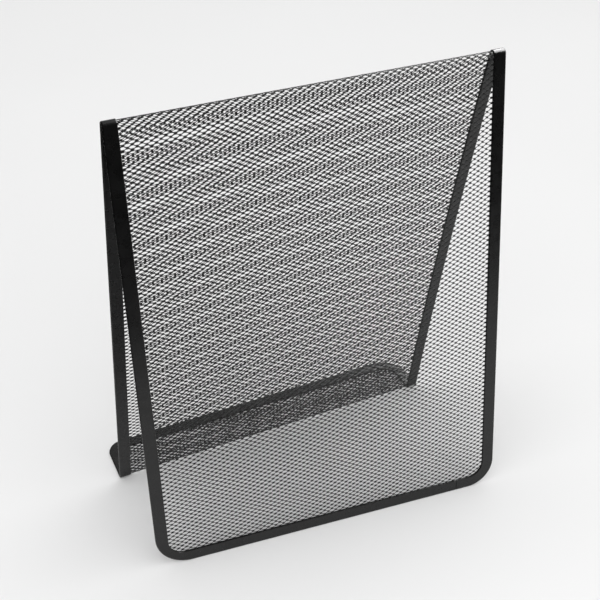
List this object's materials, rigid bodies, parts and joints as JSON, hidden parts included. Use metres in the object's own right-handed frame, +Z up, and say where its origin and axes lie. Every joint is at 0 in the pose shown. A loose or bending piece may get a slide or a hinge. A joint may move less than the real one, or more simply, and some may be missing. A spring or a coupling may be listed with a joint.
{
  "type": "mesh paper stand",
  "caption": "A-frame paper and file stand folded from one sheet of black expanded steel mesh, edged with a steel strip, with a flat front ledge.",
  "frame": {"origin": "on the table, at the middle of the footprint's bounding box", "axes": "+Z up, +X along the width, +Y towards the ledge that the papers stand on"},
  "size_m": [0.24, 0.1458, 0.3037],
  "materials": {
    "mesh": "satin",
    "strip": "satin"
  },
  "bodies": {
    "root": {"rear_mesh": "mesh", "front_mesh": "mesh", "ridge_mesh": "mesh", "ledge_mesh": "mesh", "rear_strip_left": "strip", "rear_strip_right": "strip", "rear_strip_bottom": "strip", "front_strip_left": "strip", "front_strip_right": "strip", "ridge_strip_left": "strip", "ridge_strip_right": "strip", "foot_strip_left": "strip", "foot_strip_right": "strip", "ledge_strip": "strip"}
  },
  "joints": []
}
